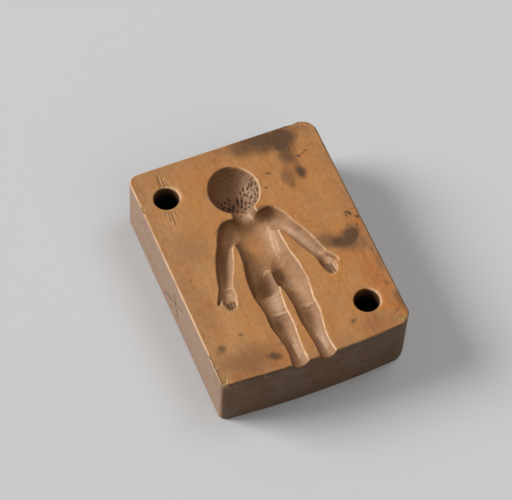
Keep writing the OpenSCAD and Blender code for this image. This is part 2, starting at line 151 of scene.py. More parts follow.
def smoothThrough(at, where, values):
    # a curve through the stations with no kinks, level beyond the first and the last
    where, values = np.array(where, float), np.array(values, float)
    if where[0] > where[-1]:
        where, values = where[::-1], values[::-1]
    slope = np.gradient(values, where)
    at = np.clip(at, where[0], where[-1])
    k = np.clip(np.searchsorted(where, at) - 1, 0, len(where) - 2)
    span = where[k + 1] - where[k]
    t = (at - where[k]) / span
    a, b = values[k], values[k + 1]
    return (a * (1 + 2 * t) * (1 - t) ** 2 + b * t * t * (3 - 2 * t)
            + slope[k] * span * t * (1 - t) ** 2 - slope[k + 1] * span * t * t * (1 - t))


def softMax(a, b, deepBlend=figure["ridgeBlend"]):
    # the larger of two depths, with the ridge between them rounded more where both are deep
    blend = figure["rimBlend"] + (deepBlend - figure["rimBlend"]) * np.clip(np.minimum(a, b) / 3, 0, 1)
    meet = np.maximum(blend - np.abs(a - b), 0)
    return np.maximum(a, b) + meet * meet / (4 * blend)


def section(off, depth, power):
    # depth across a hollow: off is 0 on its middle line and 1 at its rim
    return np.maximum(depth - np.maximum(depth, 1.5) * np.minimum(off, 2.5) ** power, -3)


def slicedHollow(x, y, slices, power, side=0):
    ys = [s[0] for s in slices]
    columns = [[s[k] for s in slices] for k in range(1, len(slices[0]))]
    middle, *halves, depth = (smoothThrough(y, ys, column) for column in columns)
    off = (x - middle) / halves[0]
    if side:
        off = side * (x - figure["middle"]) - middle
        off = off / np.where(off > 0, halves[0], halves[1])
    cut = section(np.abs(off), depth, power)
    return np.where((y > max(ys)) | (y < min(ys)), -3, cut)


def chainHollow(x, y, stations, power):
    # the stations are joined by a smooth line of short straight runs
    steps = np.linspace(0, len(stations) - 1, 4 * (len(stations) - 1) + 1)
    places = range(len(stations))
    fine = np.stack([smoothThrough(steps, places, [s[k] for s in stations]) for k in range(4)], 1)
    deepest = np.full(x.shape, -3.0)
    for a, b in zip(fine, fine[1:]):
        run = b[:2] - a[:2]
        t = np.clip(((x - a[0]) * run[0] + (y - a[1]) * run[1]) / (run @ run), 0, 1)
        off = np.hypot(x - a[0] - run[0] * t, y - a[1] - run[1] * t) / (a[2] + (b[2] - a[2]) * t)
        deepest = np.maximum(deepest, section(off, a[3] + (b[3] - a[3]) * t, power))
    return deepest


def figureDepth(x, y):
    cx, cy, halfX, halfY, deep = figure["head"]
    head = section(np.hypot((x - cx) / halfX, (y - cy) / halfY), deep, figure["headPower"])
    trunk = slicedHollow(x, y, figure["trunk"], figure["trunkPower"])
    legs = [slicedHollow(x, y, figure["legs"], figure["limbPower"], side) for side in (-1, 1)]
    depth = softMax(softMax(*legs, figure["rimBlend"]), softMax(head, trunk))
    for name in ("neck", "leftArm", "rightArm", "leftThumb", "rightThumb"):
        depth = softMax(depth, chainHollow(x, y, figure[name], figure["limbPower"]))
    return depth


def slopeOf(x, y, step=0.15):
    alongX = (figureDepth(x + step, y) - figureDepth(x - step, y)) / (2 * step)
    alongY = (figureDepth(x, y + step) - figureDepth(x, y - step)) / (2 * step)
    return alongX, alongY


def roundRim(depth, steepness):
    # the rim is rounded over, less where the wall is flat
    r = np.clip(figure["rimRound"] * steepness, 0.08, 0.8)
    return np.where(np.abs(depth) < r, (depth + r) ** 2 / (4 * r), np.maximum(depth, 0))


# Rings down the sides: inset from the outline, height
edgeRings = [(0.5, 23.0), (0.3, 22.94), (0.13, 22.8), (0.03, 22.58), (0, 22.25)]
edgeRings += [(0, 22.25 - k * 1.65) for k in range(1, 13)]
edgeRings += [(0, 0.75), (0.03, 0.42), (0.13, 0.2), (0.3, 0.06), (0.5, 0.0)]

# Rings down a peg hole: out from its wall, height from the face
boreRings = [(0.9, 0), (0.5, 0), (0.25, -0.02), (0.1, -0.1), (0.02, -0.3), (0, -0.7), (0, -1.3)]
boreRings += [(0, -2.2 - 1.35 * k) for k in range(9)]
boreRings += [(-1.0, -13.35), (-2.5, -13.87), (-3.6, -14.25)]


def newVerts(made):
    return [g for g in made if isinstance(g, bmesh.types.BMVert)]


def newBorder(made):
    return [g for g in made if isinstance(g, bmesh.types.BMEdge) and g.is_boundary]


def makePlank():
    halfW, halfL = plank["width"] / 2, plank["length"] / 2
    columns, rows = round(plank["width"] / plank["cell"]), round(plank["length"] / plank["cell"])
    bm = bmesh.new()
    bmesh.ops.create_grid(bm, x_segments=columns, y_segments=rows, size=1)
    reachX = max(v.co.x for v in bm.verts)
    reachY = max(v.co.y for v in bm.verts)
    bmesh.ops.scale(bm, vec=(halfW / reachX, halfL / reachY, 1), verts=bm.verts)
    # the sides hang from the border, one step down for each ring
    border = [e for e in bm.edges if e.is_boundary]
    for _ in edgeRings[1:]:
        made = bmesh.ops.extrude_edge_only(bm, edges=border)["geom"]
        bmesh.ops.translate(bm, vec=(0, 0, -1), verts=newVerts(made))
        border = newBorder(made)
    boreHoles(bm)
    cutFine(bm)
    lowest = -len(edgeRings) + 1.5
    rim = [e for e in bm.edges if e.is_boundary and max(v.co.z for v in e.verts) < lowest
           and max(abs(e.verts[0].co.x) - halfW, abs(e.verts[0].co.y) - halfL) > -near]
    bmesh.ops.edgeloop_fill(bm, edges=rim)
    bmesh.ops.recalc_face_normals(bm, faces=bm.faces)
    return bm


def roundHole(co, hole, reach):
    # true in the square round a peg hole
    return max(abs(co.x - hole[0]), abs(co.y - hole[1])) < reach


def shareOut(dx, dy):
    # the points of a square are spread evenly round a circle
    if abs(dx) >= abs(dy):
        return math.pi / 4 * dy / dx + (0 if dx > 0 else math.pi)
    return math.pi / 2 - math.pi / 4 * dx / dy + (0 if dy > 0 else math.pi)


def boreHoles(bm):
    patch, radius = pegHoles["patch"], pegHoles["radius"]
    for hole in (pegHoles["back"], pegHoles["front"]):
        inside = [f for f in bm.faces if abs(f.normal.z) > 0.5
                  and roundHole(f.calc_center_median(), hole, patch)]
        bmesh.ops.delete(bm, geom=inside, context="FACES")
        ring = [e for e in bm.edges if e.is_boundary and roundHole(e.verts[0].co, hole, patch + 1)]
        corners = [v.co.copy() for e in ring for v in e.verts]
        middle = [(min(c[k] for c in corners) + max(c[k] for c in corners)) / 2 for k in (0, 1)]
        for n, (out, z) in enumerate(boreRings):
            made = bmesh.ops.extrude_edge_only(bm, edges=ring)["geom"]
            ring = newBorder(made)
            for v in newVerts(made):
                if n == 0:
                    turn = shareOut(v.co.x - middle[0], v.co.y - middle[1])
                else:
                    turn = math.atan2(v.co.y - hole[1], v.co.x - hole[0])
                r = radius + out
                v.co = (hole[0] + r * math.cos(turn), hole[1] + r * math.sin(turn), z)
        bmesh.ops.edgeloop_fill(bm, edges=ring)


# Plain places that need fine squares as well: x from, x to, y from, y to, rings of the side from, to
fineSpots = [
    (-26.5, -19, 33.6, 38.4, 0, 0), (-26, -20.5, 18.4, 24.2, 0, 0), (22, 26, 27.5, 30, 0, 0),
    (10, 12, 25, 26.6, 0, 0), (7.2, 8.8, 20.6, 22, 0, 0), (27.2, 29.6, 2.4, 4.4, 0, 0),
    (29.6, 31.2, 0.6, 2.2, 0, 0), (11.8, 14.2, 19.5, 25, 0, 0), (-31.7, -30.6, 26.6, 28.8, 0, 5),
    (-31.7, -30.6, -34, -28, 0, 5), (-31.7, -27, -41, -35, 0, 5), (22.4, 27.4, 39, 41, 0, 5),
    (-31.7, -31.6, -7.4, 7.8, 7, 15), (-25, -8, -41, -40, 0, 4), (23, 31.7, -41, -35.5, 0, 4),
    (-20.4, -16.8, -17.4, -15.4, 0, 0), (14, 17, -15.9, -14.2, 0, 0),
]


def inSpot(co, x0, x1, y0, y1, first, last):
    return x0 < co.x < x1 and y0 < co.y < y1 and first - 1 < -co.z - near < last


def cutFine(bm):
    front = -plank["length"] / 2
    top = [f for f in bm.faces if all(abs(v.co.z) < near for v in f.verts)]
    x, y, _ = settle(np.array([v.co for f in top for v in f.verts]))
    starts = np.cumsum([0] + [len(f.verts) for f in top[:-1]])
    deepest = np.maximum.reduceat(figureDepth(x, y), starts)
    carved = [f for f, d in zip(top, deepest) if d > plank["fineFrom"]]
    spots = [f for f in bm.faces if any(inSpot(f.calc_center_median(), *place) for place in fineSpots)]
    edges = dict.fromkeys(e for f in carved + spots for e in f.edges)
    # the front face under the feet gets upright strips of the same width
    feet = [v.co.x for f in carved for v in f.verts if abs(v.co.y - front) < near]
    low, high = min(feet) - near, max(feet) + near
    for e in bm.edges:
        a, b = (v.co for v in e.verts)
        onFront = abs(a.y - front) < near and abs(b.y - front) < near
        if onFront and abs(a.z - b.z) < near and low < a.x < high and low < b.x < high:
            edges[e] = None
    cuts = plank["fineCuts"]
    bmesh.ops.subdivide_edges(bm, edges=list(edges), cuts=cuts, use_grid_fill=True)


def settle(co):
    # from the flat layout to the block: corners rounded, front bowed, rings hung down the sides
    u, v, w = np.asarray(co, float).reshape(-1, 3).T
    halfW, halfL, height = plank["width"] / 2, plank["length"] / 2, plank["height"]
    onSide = (np.abs(u) > halfW - near) | (np.abs(v) > halfL - near)
    level = np.where(onSide, -w, 0)
    inset, z = (np.interp(level, range(len(edgeRings)), [ring[k] for ring in edgeRings]) for k in (0, 1))
    inset = np.where(onSide, inset, 0)
    z = np.where(onSide, z, height + w)
    r = np.where(v > 0, np.where(u > 0, plank["backRight"], plank["backLeft"]),
                 np.where(u > 0, plank["frontRight"], plank["frontLeft"]))
    a = np.clip((np.abs(u) - halfW + r) / r, 0, 1)
    b = np.clip((np.abs(v) - halfL + r) / r, 0, 1)
    x = np.sign(u) * (np.minimum(np.abs(u), halfW - r) + (r - inset) * a * np.sqrt(1 - b * b / 2))
    y = np.sign(v) * (np.minimum(np.abs(v), halfL - r) + (r - inset) * b * np.sqrt(1 - a * a / 2))
    bowRadius = halfW ** 2 / (2 * plank["bow"]) + plank["bow"] / 2
    share = ease((plank["bowReach"] - halfL - v) / plank["bowReach"])
    y = y + (bowRadius - np.sqrt(bowRadius ** 2 - x ** 2)) * share
    return x, y, z


# Short strokes of the gouge: x, y at each end, half the width, depth (less than 0 leaves a ridge),
# tone (less than 0 is painted shade, more than 0 a painted highlight)
strokes = [
    # between the fingers and beside the thumb of the left hand
    (-20.15, -12.2, -20.35, -15.9, 0.25, -0.6, -0.9), (-19.0, -12.9, -19.55, -16.5, 0.2, -0.6, -1.1),
    (-18.15, -12.3, -18.6, -16.5, 0.17, -0.6, -1.2), (-17.2, -12.7, -17.6, -16.4, 0.17, -0.55, -1.2),
    (-20.5, -10.2, -22.2, -12.4, 0.28, 0.3, -0.6), (-19.4, -12.4, -19.8, -15.6, 0.2, 0.15, 0.4),
    (-16.4, -12.2, -16.6, -14.8, 0.25, 0.1, 0.5),
    # between the fingers and beside the thumb of the right hand
    (14.5, -10.6, 14.25, -14.6, 0.2, -0.55, -0.9), (15.3, -10.7, 15.15, -15.2, 0.15, -0.6, -1.2),
    (16.15, -10.9, 16.4, -14.9, 0.15, -0.55, -1.2), (15.75, -10.6, 15.8, -14.6, 0.18, 0.12, 0.4),
    (16.2, -7.6, 18.6, -10.0, 0.22, 0.2, -0.6), (16.8, -10.8, 17.0, -13.9, 0.2, 0.15, 0.6),
    # creases of the wrists and the elbow
    (-17.6, -7.1, -16.5, -7.6, 0.16, -0.2, 0.8), (-16.5, -7.6, -15.8, -8.4, 0.16, -0.2, 0.9),
    (-18.6, -8.2, -16.4, -8.7, 0.3, 0.12, -0.4), (14.7, -5.6, 15.5, -6.6, 0.16, -0.2, 0.9),
    (15.5, -6.5, 16.6, -6.3, 0.16, -0.18, 0.8), (14.0, -6.8, 15.4, -7.6, 0.3, 0.12, -0.4),
    (12.2, 4.7, 12.7, 3.9, 0.25, 0.15, -0.35), (12.9, 4.9, 13.3, 4.3, 0.25, -0.1, 0.5),
    # curved cuts across the left thigh, then the backs of the knees
    (-6.2, -13.0, -4.9, -14.2, 0.2, -0.12, 0.6), (-4.9, -14.2, -2.6, -14.6, 0.2, -0.15, 0.7),
    (-5.0, -15.5, -3.0, -17.2, 0.14, -0.05, 0.4), (-5.4, -16.3, -3.6, -17.5, 0.14, 0.05, -0.25),
    (-5.2, -17.1, -3.1, -18.7, 0.14, -0.05, 0.4), (-5.7, -17.8, -3.4, -19.3, 0.14, 0.04, -0.2),
    (-5.2, -18.7, -3.3, -20.0, 0.14, -0.05, 0.35), (-6.3, -19.4, -3.4, -21.0, 0.2, 0.04, -0.25),
    (-6.9, -20.6, -4.6, -21.2, 0.24, -0.18, 0.9), (-4.6, -21.2, -3.3, -22.2, 0.24, -0.15, 0.9),
    (-6.7, -21.7, -4.4, -22.2, 0.25, 0.1, -0.4), (2.4, -20.4, 3.4, -20.6, 0.16, -0.12, 0.7),
    (3.4, -20.4, 3.6, -21.8, 0.16, -0.14, 0.9), (4.2, -20.5, 4.3, -21.8, 0.16, -0.14, 0.9),
    (4.9, -20.9, 5.6, -21.8, 0.18, -0.12, 0.7), (2.6, -21.6, 5.2, -22.4, 0.25, 0.1, -0.4),
    # long flat cuts down the right of the back, on the legs and the forearm
    (4.0, 9.8, 3.1, 5.2, 0.5, -0.07, 0.8), (3.1, 5.2, 2.6, 1.5, 0.4, -0.06, 0.8),
    (4.3, 6.6, 3.5, -0.6, 0.35, -0.05, 0.6), (2.6, 1.4, 2.9, -1.6, 0.35, 0.05, 0.5),
    (-5.4, -32.6, -5.5, -37.4, 0.3, -0.08, 0.8), (-4.6, -30.5, -4.7, -36.5, 0.25, -0.05, 0.5),
    (2.8, -31.6, 3.0, -34.4, 0.3, -0.1, 0.8), (3.5, -33.4, 3.6, -37.6, 0.3, -0.08, 0.8),
    (2.4, -34.0, 2.5, -36.4, 0.2, 0.1, -0.3), (11.6, 1.6, 13.4, -3.4, 0.35, -0.06, 0.6),
    (12.4, 2.0, 14.0, -2.6, 0.25, 0.05, 0.3), (9.6, 6.6, 11.6, 1.8, 0.3, -0.05, 0.4),
    # the top of the hollow of the seat
    (-3.8, -5.4, -3.3, -4.8, 0.3, -0.3, 1.5), (-3.3, -4.8, -2.6, -4.5, 0.3, -0.35, 1.7),
    (-2.6, -4.5, -1.8, -4.7, 0.3, -0.35, 1.7), (-1.8, -4.7, -1.2, -5.5, 0.3, -0.3, 1.4),
    (-0.6, 16.5, 0.6, 13.6, 0.4, -0.08, 0.8), (-3.6, 15.4, -3.2, 13.0, 0.3, 0.06, -0.3),
]

# Curls at the nape: middle x, y, length, width, turn from X in degrees, depth
curls = [
    (4.8, 25.6, 1.7, 0.5, 55, 0.4), (3.8, 25.8, 1.4, 0.45, 50, 0.4), (2.4, 26.3, 1.1, 0.4, 75, 0.35),
    (1.25, 25.9, 0.8, 0.35, 95, 0.3), (2.2, 24.7, 1.1, 0.35, 20, 0.3), (-0.6, 23.6, 3.6, 0.5, 79, 0.45),
    (0.7, 23.2, 2.6, 0.45, 67, 0.4), (-4.6, 24.5, 1.4, 0.4, 100, 0.3), (-6.0, 24.0, 1.6, 0.45, 82, 0.35),
    (-7.1, 24.4, 1.4, 0.4, 88, 0.3), (-3.0, 25.3, 1.6, 0.5, 100, 0.25), (-2.7, 22.1, 2.2, 0.7, 60, 0.4),
    (-4.2, 21.8, 1.9, 0.65, 80, 0.35), (-6.3, 21.9, 1.6, 0.55, 75, 0.35), (0.3, 19.5, 1.3, 0.6, 85, 0.5),
    (1.3, 18.9, 1.3, 0.4, 62, 0.4), (-2.1, 19.8, 1.1, 0.7, 60, 0.4), (-1.1, 18.2, 0.8, 0.4, 70, 0.3),
    (2.6, 23.9, 1.1, 0.4, 112, 0.35), (3.5, 22.4, 1.3, 0.45, 60, 0.4), (5.5, 22.8, 1.4, 0.4, 75, 0.35),
    (4.6, 21.9, 1.0, 0.35, 80, 0.3), (3.4, 19.2, 1.0, 0.4, 105, 0.3), (5.6, 26.7, 0.8, 0.35, 10, 0.25),
    (4.9, 26.9, 0.6, 0.3, 60, 0.25), (3.2, 24.3, 0.9, 0.3, 25, 0.3), (-5.4, 22.8, 1.2, 0.35, 80, 0.3),
    (-7.4, 22.6, 1.3, 0.45, 85, 0.3), (-3.4, 23.6, 1.3, 0.35, 85, 0.25), (-3.6, 20.2, 1.7, 0.6, 65, 0.35),
    (-5.2, 20.3, 1.5, 0.55, 70, 0.35), (-0.2, 21.2, 1.5, 0.5, 72, 0.35), (1.4, 21.6, 1.3, 0.4, 65, 0.35),
    (2.4, 20.4, 1.1, 0.4, 75, 0.35), (-0.6, 17.7, 0.8, 0.35, 60, 0.25), (2.3, 18.2, 0.7, 0.35, 75, 0.25),
    (4.6, 20.0, 0.9, 0.35, 95, 0.3), (5.8, 24.6, 1.0, 0.3, 65, 0.3), (4.5, 24.0, 1.0, 0.3, 50, 0.3),
]

hair = dict(
    middle=(-3.4, 27.2), squash=0.95,  # the crown that the strands run round
    spacing=0.78, fineSpacing=0.47, strand=0.09,  # width and depth of the strands
    fadeFrom=1.5, fadeOver=2.5,  # they fade towards the crown
    band=0.74, bandDip=0.44, bandTurn=-42, bandSpread=48,  # where the curls begin, 1 is the head's rim
    bare=0.3, bareTurn=-60, bareFrom=85, bareOver=25,  # there are none on the other side of the head
    curlLength=1.4, curlWidth=1.85, curlDepth=1.5, tangle=0.24,  # how large and rough the curls are
)

# Soft patches of painted shade and painted highlight in the hollow: middle x, y, half-widths, turn in
# degrees, tone (less than 0 is painted shade, more than 0 a painted highlight)
patches = [
    (-14.5, 3.2, 9.5, 1.5, 69, -1.0), (-9.6, 11.6, 3.2, 1.7, 35, -0.7), (4.4, 14.2, 3.8, 2.0, -10, -1.15),
    (-6.6, -8.6, 3.4, 3.4, 0, -0.8), (-4.6, -11.4, 2.4, 2.2, 0, -0.35), (0.9, -6.4, 1.7, 2.9, 12, -1.4),
    (-0.1, -10.4, 0.7, 2.4, 0, -1.3), (-6.7, -24.2, 1.9, 3.4, 0, -0.8), (3.0, -24.4, 1.7, 3.4, 0, -0.4),
    (-19.4, -9.6, 1.0, 2.4, 0, -0.6), (13.9, -9.6, 0.9, 2.8, -8, -1.0), (-6.6, -33.0, 1.1, 6.0, 0, -0.7),
    (1.7, -34.0, 0.9, 6.0, 0, -0.5), (1.4, -14.6, 1.2, 3.0, 0, -0.7), (-3.0, 12.2, 3.0, 1.5, 0, -0.3),
    (-8.0, 1.5, 1.2, 5.0, 0, -0.4), (10.8, 3.0, 8.5, 1.8, -64, 1.0), (4.0, 5.0, 2.0, 6.5, 6, 0.8),
    (4.4, -2.4, 1.8, 2.4, 0, 0.5), (3.2, -10.2, 2.0, 2.2, 0, 0.45), (-4.4, -17.6, 2.3, 3.6, 0, 1.2),
    (4.8, -15.8, 2.0, 3.4, 0, 0.6), (-4.5, -35.0, 1.4, 5.5, 0, 0.8), (3.6, -34.0, 1.6, 5.4, 0, 1.0),
    (-13.1, 0.6, 6.0, 0.9, 70, 0.9), (-17.3, -10.2, 1.2, 2.6, 0, 0.6), (16.5, -9.6, 1.1, 2.4, -8, 0.6),
    (-0.6, 15.6, 1.6, 1.8, 0, 0.7), (-4.2, -26.0, 1.2, 5.0, 0, 0.4), (5.2, -26.0, 1.1, 5.0, 0, 0.4),
    (3.8, 24.6, 2.8, 4.2, 0, 1.0), (1.0, 19.4, 3.0, 1.4, 0, 0.6), (-5.2, 20.8, 4.2, 1.9, -20, -0.8),
    (-3.7, 31.0, 2.6, 1.6, 0, 0.1), (-1.8, 23.4, 2.0, 1.6, 0, -0.3), (9.4, 9.0, 1.8, 1.8, 0, 0.3),
    (-5.4, -23.3, 1.9, 1.5, 0, -0.45), (3.1, -23.4, 1.5, 1.3, 0, -0.3),
]
# Where the hollow is as polished as the face: middle x, y, half-widths, turn, strength
polished = [(-3.2, 5.0, 3.4, 6.5, 0, 0.8), (-2.2, -4.6, 2.0, 1.4, 0, 0.7), (-6.8, -14.5, 1.5, 4, 0, 0.4)]

# Stains soaked into the face: middle x, y, half-widths, turn in degrees, strength
burns = [
    (13.0, 38.6, 9.5, 4.4, -4, 0.9), (19.0, 36.6, 4.4, 4.8, 0, 1.25), (6.2, 37.4, 3.6, 2.4, 0, 0.7),
    (13.5, 35.8, 6, 2.6, -8, 0.75), (18.6, 30.8, 2.4, 4.6, 8, 0.75), (20.6, 22.9, 1.3, 2.2, 8, 1.15),
    (20.2, 25.6, 1.2, 1.6, 0, 0.5), (16.1, 22.6, 2.0, 3.6, 0, 0.5), (16.2, 19.6, 1.0, 1.4, 0, 0.7),
    (17.4, 26.6, 1.6, 3.2, 0, 0.35), (26.0, -4.6, 2.2, 2.4, -25, 1.4), (22.6, -5.8, 4.2, 2.2, -15, 1.1),
    (18.5, -3.4, 4.6, 2.0, -25, 0.6), (28.4, -8.0, 2.2, 3.0, 0, 0.35), (26.6, -1.6, 1.4, 1.6, 0, 0.5),
    (-26.9, -27.4, 1.0, 0.7, -35, 0.9), (-27.6, -28.3, 1.6, 1.2, 0, 0.4),
    (-19.6, -25.0, 0.7, 0.35, -20, 0.9), (-12.9, -35.5, 1.9, 1.0, -30, 1.45),
    (-14.6, -34.4, 1.6, 0.9, -10, 0.6), (14.3, -33.0, 0.7, 0.6, 0, 0.9), (-27.2, -1.9, 0.45, 0.5, 0, 0.8),
    (-26.9, -4.3, 0.6, 0.35, 0, 0.7), (-20.0, 7.7, 0.3, 1.0, 0, 0.4), (-22.5, 8.5, 4.5, 5.5, 0, 0.22),
    (-26.0, -14.0, 3.4, 8.0, 0, 0.15), (-20.5, -34.0, 9.0, 5.0, 0, 0.42), (8.0, 21.4, 0.4, 0.35, 0, 0.9),
    (10.5, 26.0, 1.0, 0.22, -12, 1.1), (22.2, 28.6, 0.55, 0.4, 20, 1.5),
    (23.5, 29.0, 0.35, 0.22, 20, 1.3), (24.3, 29.4, 0.32, 0.22, 40, 1.2),
    (25.1, 29.7, 0.5, 0.24, 15, 1.3), (28.5, 3.3, 0.45, 0.8, 30, 1.5), (27.6, 3.9, 0.4, 0.3, 0, 1.2),
    (27.4, 2.7, 0.3, 0.3, 0, 1.1), (27.9, 1.9, 0.25, 0.3, 0, 1.0), (30.5, 1.2, 0.4, 0.5, 0, 1.5),
    (29.0, -1.4, 0.4, 0.4, 0, 1.2), (28.0, -2.3, 0.35, 0.3, 0, 1.0), (-9.5, -32.0, 1.6, 0.4, 15, 0.5),
    (24.5, 12.5, 0.25, 0.3, 0, 0.7), (4.0, 14.9, 2.0, 0.35, -8, 0.6), (-11.5, 12.9, 2.0, 0.42, 38, 0.9),
    (29.9, -11.4, 0.5, 1.3, 10, 0.6), (30.3, -16.5, 0.45, 3.4, 0, 0.5), (29.6, -24.4, 0.4, 0.9, 20, 0.7),
    (27.6, -20.6, 0.3, 0.5, 0, 0.4), (30.5, -30.5, 0.5, 3.2, 0, 0.8), (28.0, -34.6, 1.4, 0.5, 30, 0.5),
    (28.2, -9.0, 0.5, 0.8, 0, 0.7), (24.8, -6.0, 1.6, 1.6, 0, 1.5), (21.0, -35.5, 5.0, 3.0, 0, 0.25),
]
reds = [
    (27.5, -20, 4.6, 16, 0, 1.0), (28.5, -35, 4.5, 7, 0, 1.0), (29.5, -2, 2.4, 9, 0, 1.0),
    (12.5, 10, 7, 9, 0, 0.3), (-27, -10, 4, 16, 0, 0.12), (20.0, 22.0, 5.0, 7.0, 0, 0.35),
    (20.5, 26.5, 1.6, 1.6, 0, 1.0), (-8, 33, 9, 6, 0, 0.35), (-11, 14, 3, 5, 0, 0.5),
    (-14, -36, 9, 3.5, 0, 0.65), (-26, -38.5, 5, 2.6, 0, 0.8), (0, -33, 1.6, 8, 0, 0.6),
    (22, -12, 4, 5, 0, 0.4), (-24, 36, 4, 3, 0, 0.3), (23, -8.5, 4, 1.6, -10, 0.6),
    (24, -33, 8, 9, 0, 0.9), (0.4, -18, 1.3, 6, 0, 0.8), (3.8, 15.2, 2.8, 1.2, -8, 1.6),
    (19, -35, 6, 4, 0, 0.7), (-0.2, -13, 1.4, 3, 0, 1.2), (4, -12, 5, 4, 0, 0.4),
]
# Torn grain beside the back peg hole: x, y at each end, half the width, tone
torn = [
    (-22.7, 34.0, -22.4, 38.0, 0.2, -1), (-21.6, 33.6, -21.5, 36.4, 0.16, -1),
    (-23.3, 33.6, -23.1, 36.8, 0.12, -0.8), (-20.5, 33.0, -20.7, 35.0, 0.16, -0.8),
    (-22.2, 33.8, -22.0, 36.9, 0.14, 0.7), (-21.1, 33.4, -21.1, 36.2, 0.14, 0.7),
    (-24.6, 33.2, -24.7, 34.9, 0.1, -0.5), (-24.1, 24.3, -24.3, 20.6, 0.12, -0.7),
    (-23.3, 24.2, -23.5, 18.9, 0.16, -1), (-22.7, 24.3, -22.8, 21.8, 0.12, 0.6),
    (-22.0, 24.4, -21.9, 21.6, 0.1, -0.7), (-25.0, 24.6, -25.2, 23.0, 0.1, -0.5),
    (13.9, 24.6, 13.2, 22.8, 0.12, 0.5), (13.1, 22.4, 12.2, 20.0, 0.14, 0.6),
    # the tips of the fingers run out on the face, with painted shade between them and painted highlights on
    # them
    (-19.5, -15.6, -19.65, -16.3, 0.14, -0.6), (-18.55, -15.4, -18.7, -16.4, 0.14, -0.7),
    (-17.55, -15.4, -17.7, -16.2, 0.14, -0.6), (-19.05, -15.4, -19.2, -16.3, 0.2, 0.25),
    (-18.1, -15.4, -18.3, -16.4, 0.2, 0.3), (15.2, -14.2, 15.2, -15.2, 0.12, -0.7),
    (16.4, -13.8, 16.55, -14.9, 0.12, -0.6), (15.8, -14.0, 15.9, -15.2, 0.2, 0.3),
    (14.75, -14.0, 14.7, -15.0, 0.18, 0.25),
]
# Dents in the rim of the face: x, y, half-widths, depth
dents = [
    (-31.65, 27.6, 0.7, 0.7, 0.7), (-31.7, 5.0, 0.4, 1.2, 0.15), (-31.7, -14.0, 0.4, 1.6, 0.15),
    (-31.65, -32.4, 0.7, 0.7, 0.6), (-31.65, -29.2, 0.6, 0.5, 0.35), (24.6, 40.6, 1.9, 0.9, 0.55),
    (-31.2, -39.0, 2.4, 2.6, 0.8), (-27.4, -40.0, 1.6, 0.8, 0.3), (-18.0, -40.4, 0.8, 0.5, 0.3),
    (-11.5, -40.8, 0.6, 0.4, 0.25), (29.4, -38.0, 2.6, 2.2, 0.35),
]
# Scratches on the left side: y, z at each end, half the width
scratches = [
    (7.2, 5.0, -0.8, 10.7, 0.3), (-0.8, 10.7, -6.8, 15.1, 0.24), (0.0, 15.7, -1.0, 11.0, 0.34),
    (-1.0, 11.0, -3.3, 5.6, 0.38), (4.8, 8.8, 1.9, 6.4, 0.16),
]


def rough(x, y, size, seed, waves=9):
    # gentle unevenness, mostly between -1 and 1, the same each time
    rng = np.random.default_rng(seed)
    total = np.zeros(x.shape)
    for _ in range(waves):
        turn, phase = rng.uniform(0, 2 * math.pi, 2)
        pitch = size * rng.uniform(0.6, 1.6)
        total += np.sin((x * math.cos(turn) + y * math.sin(turn)) * 2 * math.pi / pitch + phase)
    return total * 2 / waves


def strokeShape(x, y, x1, y1, x2, y2, half):
    # 1 along the line from one point to the other, and fading on both sides
    run = np.array([x2 - x1, y2 - y1])
    t = np.clip(((x - x1) * run[0] + (y - y1) * run[1]) / (run @ run), 0, 1)
    off = np.hypot(x - x1 - run[0] * t, y - y1 - run[1] * t) / half
    return np.exp(-off * off)


def spot(x, y, cx, cy, halfX, halfY, turn):
    # 0 in the middle of a turned oval and 1 at its rim
    a = math.radians(turn)
    p = ((x - cx) * math.cos(a) + (y - cy) * math.sin(a)) / halfX
    q = ((y - cy) * math.cos(a) - (x - cx) * math.sin(a)) / halfY
    return np.hypot(p, q)


def hairMarks(x, y):
    # fine strands bent round the crown, and the curls gouged below them
    h = hair
    radius = np.hypot(x - h["middle"][0], (y - h["middle"][1]) * h["squash"])
    radius = radius + 0.3 * rough(x, y, 4, 5) + 0.12 * rough(x, y, 1.7, 6)
    inHead = spot(x, y, *figure["head"][:4], 0)
    head = ease((1.02 - inHead) * 6)
    bearing = np.degrees(np.arctan2(y - figure["head"][1], x - figure["head"][0]))
    start = h["band"] - h["bandDip"] * np.exp(-((bearing - h["bandTurn"]) / h["bandSpread"]) ** 2)
    start = start + h["bare"] * ease((np.abs(bearing - h["bareTurn"]) - h["bareFrom"]) / h["bareOver"])
    band = ease((inHead - start) * 6) * head
    smooth = head * (1 - band)
    sunny = 0.25 + 0.75 * ease((x + 3) / 5)

    strand = np.sin(radius * 2 * math.pi / h["spacing"])
    strand = strand + 0.6 * np.sin(radius * 2 * math.pi / h["fineSpacing"] + 1)
    strand = strand * (0.15 + 0.85 * ease((radius - h["fadeFrom"]) / h["fadeOver"]))
    strand = strand * (0.75 + 0.35 * rough(x, y, 2.5, 7))
    tangle = rough(x, y * 0.7, 0.95, 41) + 0.6 * rough(x, y, 0.6, 42)
    extra = strand * h["strand"] * smooth + tangle * h["tangle"] * band
    # dark is painted shade in the grooves, pale a painted highlight on the ridges, more on the sunny right
    dark = np.maximum(0.42 * ease(strand - 0.4) * smooth, 0.7 * ease(tangle * 1.3 - 0.15) * band)
    pale = np.maximum(0.3 * ease(-strand - 0.4) * smooth * ease((x + 6) / 6),
                      0.5 * ease(-tangle * 1.3 - 0.3) * band * sunny)
    for cx, cy, long, wide, turn, deep in curls:
        long, wide = long / 2 * h["curlLength"], wide / 2 * h["curlWidth"]
        s = np.clip(1 - spot(x, y, cx, cy, long, wide, turn) ** 2, 0, 1) ** 1.5
        extra += s * deep * h["curlDepth"]
        # painted shade inside each curl
        dark = np.maximum(dark, s * 1.5)
        # each has a raised lip on its right, with a painted highlight on it
        lip = np.clip(1 - spot(x, y, cx + 0.34, cy - 0.05, long * 0.9, wide, turn) ** 2, 0, 1)
        lip = lip * (1 - np.clip(s * 3, 0, 1))
        extra -= lip * 0.12
        pale = np.maximum(pale, lip * 0.6 * sunny)
    return extra, dark, pale


